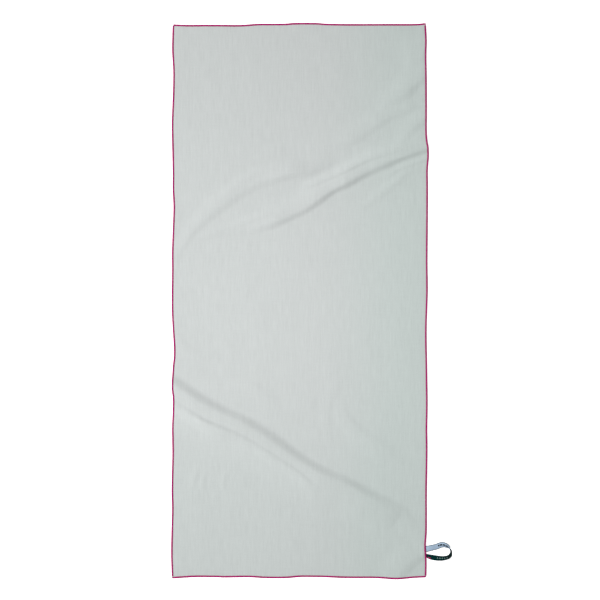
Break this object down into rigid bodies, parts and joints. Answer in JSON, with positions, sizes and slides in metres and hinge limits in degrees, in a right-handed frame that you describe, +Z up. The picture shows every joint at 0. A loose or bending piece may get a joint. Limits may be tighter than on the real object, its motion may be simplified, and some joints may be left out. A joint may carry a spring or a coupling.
{
  "type": "quick dry travel towel",
  "caption": "Flat microfibre travel towel with serged edges and a ribbon hanging loop; folds in half across its middle.",
  "frame": {"origin": "centre of the towel's underside, where it rests on the surface", "axes": "+Y along the length to the head end, +X across to the side that carries the hanging loop, +Z up out of the face"},
  "size_m": [0.6037, 1.2, 0.0192],
  "materials": {
    "microfibre_cloth": "matte",
    "overlock_thread": "satin",
    "loop_ribbon": "satin"
  },
  "bodies": {
    "foot_half": {"cloth_foot_half": "microfibre_cloth", "foot_end_needle_thread": "overlock_thread", "foot_end_upper_looper_thread": "overlock_thread", "foot_end_lower_looper_thread": "overlock_thread", "left_side_foot_needle_thread": "overlock_thread", "left_side_foot_upper_looper_thread": "overlock_thread", "left_side_foot_lower_looper_thread": "overlock_thread", "right_side_foot_needle_thread": "overlock_thread", "right_side_foot_upper_looper_thread": "overlock_thread", "right_side_foot_lower_looper_thread": "overlock_thread", "hang_loop_tails": "loop_ribbon"},
    "head_half": {"cloth_head_half": "microfibre_cloth", "head_end_needle_thread": "overlock_thread", "head_end_upper_looper_thread": "overlock_thread", "head_end_lower_looper_thread": "overlock_thread", "left_side_head_needle_thread": "overlock_thread", "left_side_head_upper_looper_thread": "overlock_thread", "left_side_head_lower_looper_thread": "overlock_thread", "right_side_head_needle_thread": "overlock_thread", "right_side_head_upper_looper_thread": "overlock_thread", "right_side_head_lower_looper_thread": "overlock_thread"},
    "hang_loop": {"hang_loop_ribbon": "loop_ribbon"}
  },
  "joints": [
    {"name": "fold_in_half", "type": "hinge", "parent": "foot_half", "child": "head_half", "pos_m": [0, 0, 0.006], "axis": [1, 0, 0], "range_deg": [0, 180]},
    {"name": "loop_flip", "type": "hinge", "parent": "foot_half", "child": "hang_loop", "pos_m": [0.27515, -0.545, 0.00052], "axis": [0, -1, 0], "range_deg": [0, 45]}
  ]
}
